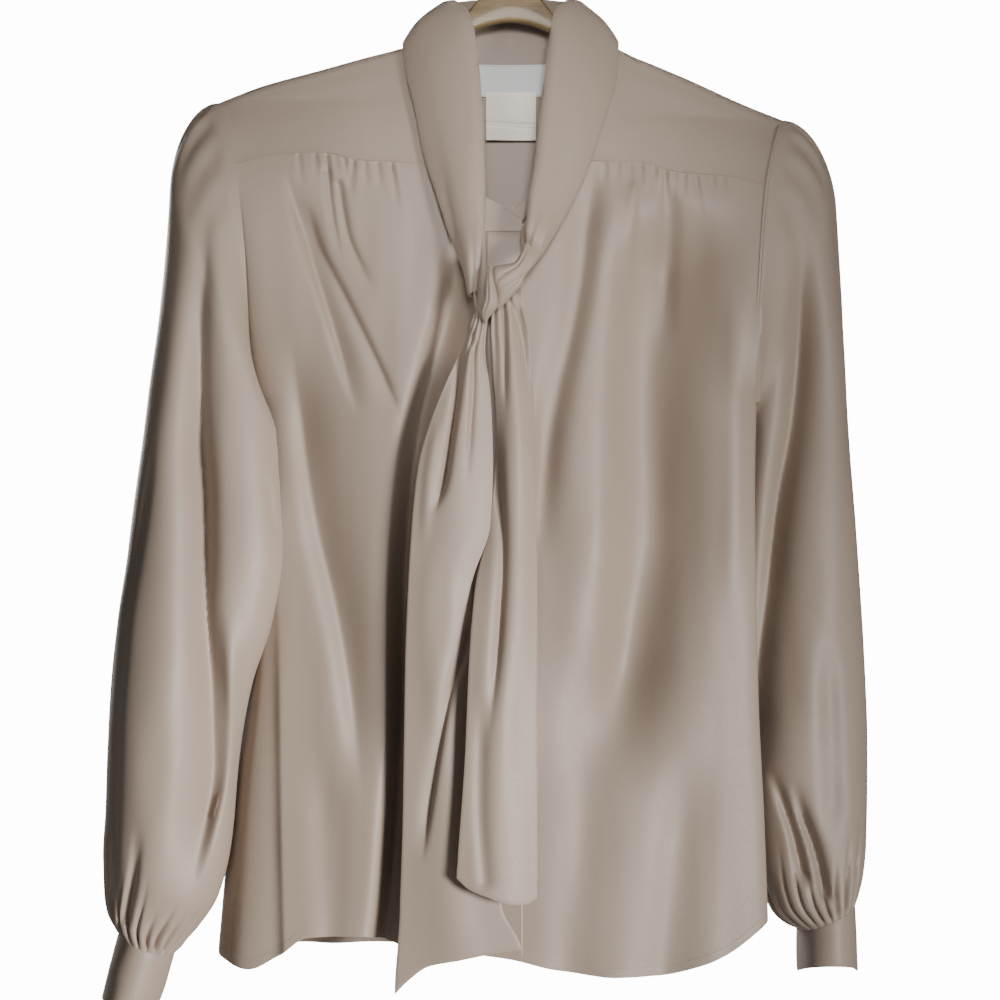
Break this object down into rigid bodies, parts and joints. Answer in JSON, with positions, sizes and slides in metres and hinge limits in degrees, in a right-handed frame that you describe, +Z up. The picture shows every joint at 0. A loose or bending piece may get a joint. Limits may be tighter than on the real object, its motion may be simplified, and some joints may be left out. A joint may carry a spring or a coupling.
{
  "type": "tie front blouse on a hanger",
  "caption": "Long-sleeved silky blouse with a yoke, gathered fronts, full sleeves, buttoned cuffs and a knotted tie collar, hanging on a wooden hanger.",
  "frame": {"origin": "where a rail touches the inside of the hanger's hook, at the hook's top", "axes": "+Z up along the hook's stem, the front of the blouse faces -Y, +X towards the wearer's left"},
  "size_m": [0.579, 0.1418, 0.842],
  "materials": {
    "cloth": "soft satin crepe",
    "button": "gloss",
    "label": "woven",
    "satin": "satin",
    "wood": "varnished",
    "steel": "polished"
  },
  "bodies": {
    "root": {"front_right": "cloth", "front_left": "cloth", "front_band": "cloth", "back": "cloth", "yoke": "cloth", "sleeve_right": "cloth", "sleeve_left": "cloth", "cuff_right": "cloth", "cuff_left": "cloth", "collar": "cloth", "knot": "cloth", "tie_end_right": "cloth", "tie_end_left": "cloth", "neck_tab_right": "cloth", "neck_tab_left": "cloth", "button_1": "button", "button_2": "button", "button_3": "button", "button_4": "button", "button_5": "button", "cuff_button_right": "button", "cuff_button_left": "button", "neck_label": "label", "care_label": "satin", "hanger_bar": "wood", "hanger_hook": "steel"}
  },
  "joints": []
}
